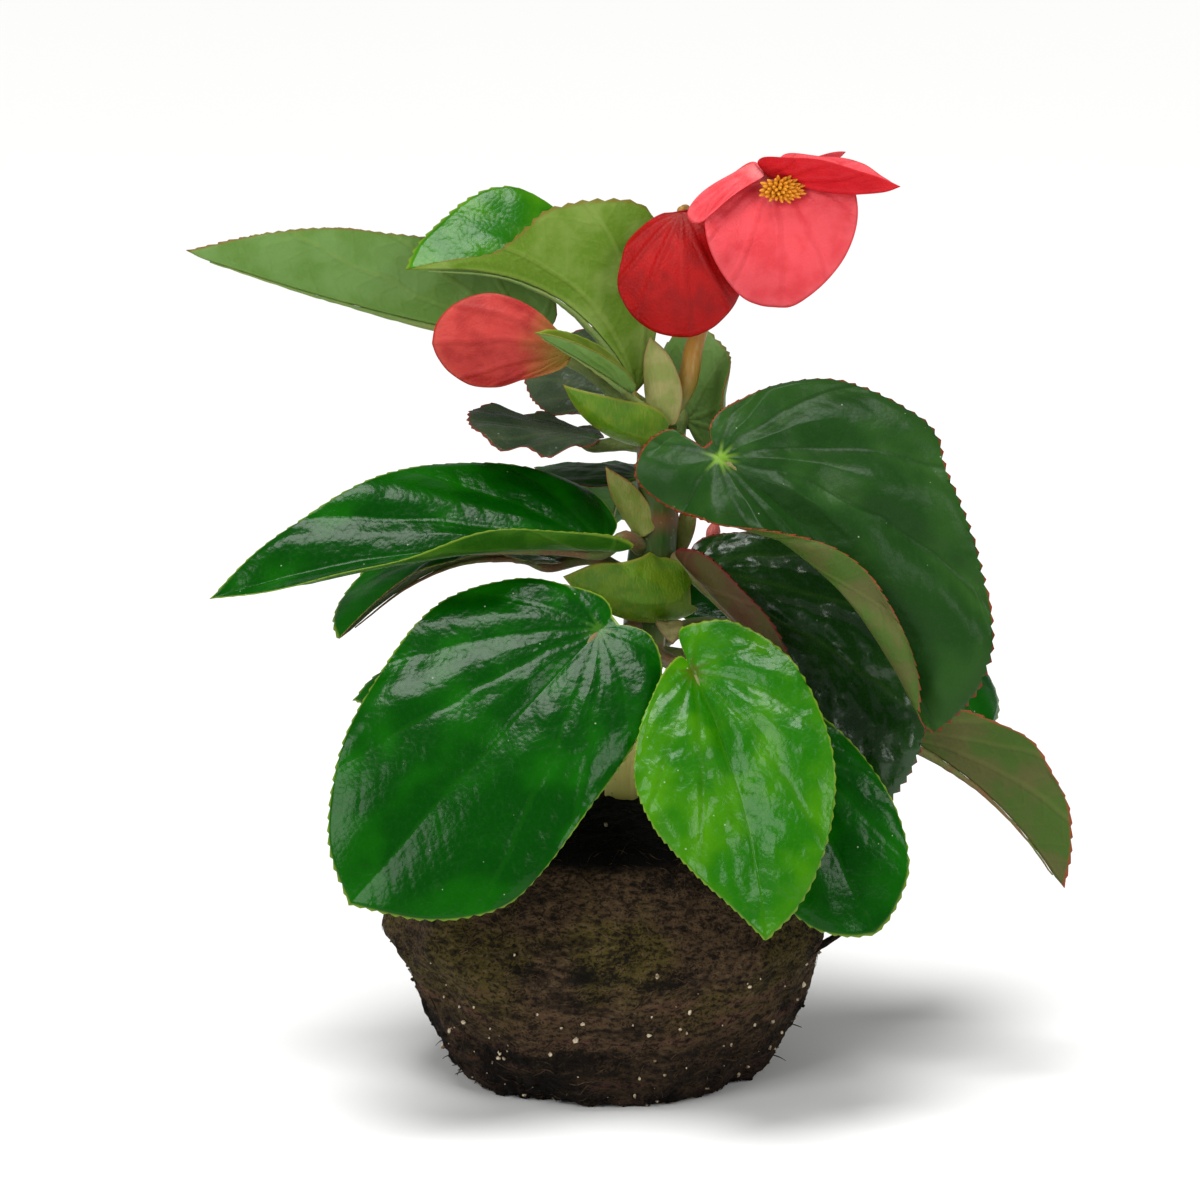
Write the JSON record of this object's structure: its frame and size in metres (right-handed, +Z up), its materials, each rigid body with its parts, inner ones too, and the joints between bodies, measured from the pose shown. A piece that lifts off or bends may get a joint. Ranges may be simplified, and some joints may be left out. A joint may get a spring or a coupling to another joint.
{
  "type": "begonia with bare root ball",
  "caption": "Young begonia lifted from its pot: root ball, upright stem, lopsided toothed leaves and scarlet blooms.",
  "frame": {"origin": "middle of the flat underside of the root ball", "axes": "+Z up along the stem, +X to the plant's right as the picture shows it, the front faces -Y"},
  "size_m": [0.201, 0.1437, 0.212],
  "materials": {
    "root_ball": "crumbly peat bound by fine roots",
    "stem_green": "smooth, slightly waxy",
    "leaf_green": "glossy upper face, duller underside",
    "leaf_bright": "glossy young leaf",
    "leaf_pale": "matte pale underside",
    "leaf_olive": "matte olive underside",
    "stipule": "thin, papery",
    "tepal_pink": "satin",
    "tepal_crimson": "satin",
    "stamen": "matte",
    "flower_stalk": "smooth"
  },
  "bodies": {
    "root": {"root_ball": "root_ball", "main_stem": "stem_green", "leaf_upper_right": "leaf_green", "leaf_front_left": "leaf_green", "leaf_front_middle": "leaf_bright", "leaf_middle_left": "leaf_green", "leaf_top_left": "leaf_pale", "leaf_top_middle": "leaf_pale", "leaf_lower_right": "leaf_green", "leaf_far_right": "leaf_olive", "leaf_inner_right": "leaf_green", "leaf_under_left": "leaf_olive", "leaf_thin_left": "leaf_green", "leaf_back_left": "leaf_green", "leaf_back_right": "leaf_pale", "leaf_back_lower_left": "leaf_green", "leaf_back_lower_right": "leaf_green", "leaf_back_middle": "leaf_green", "leaf_young": "leaf_bright", "stipule_top": "stipule", "stipule_upright": "stipule", "stipule_middle": "stipule", "stipule_dry": "stipule", "stipule_sheath": "stipule", "stipule_side": "stipule", "flower_stalk": "flower_stalk", "side_flower_stalk": "stem_green", "bud_stalk": "stem_green", "open_bloom": "tepal_pink", "closed_bloom": "tepal_crimson", "side_bloom": "tepal_pink", "open_bloom_stamens": "stamen", "flower_bud": "tepal_pink"}
  },
  "joints": []
}
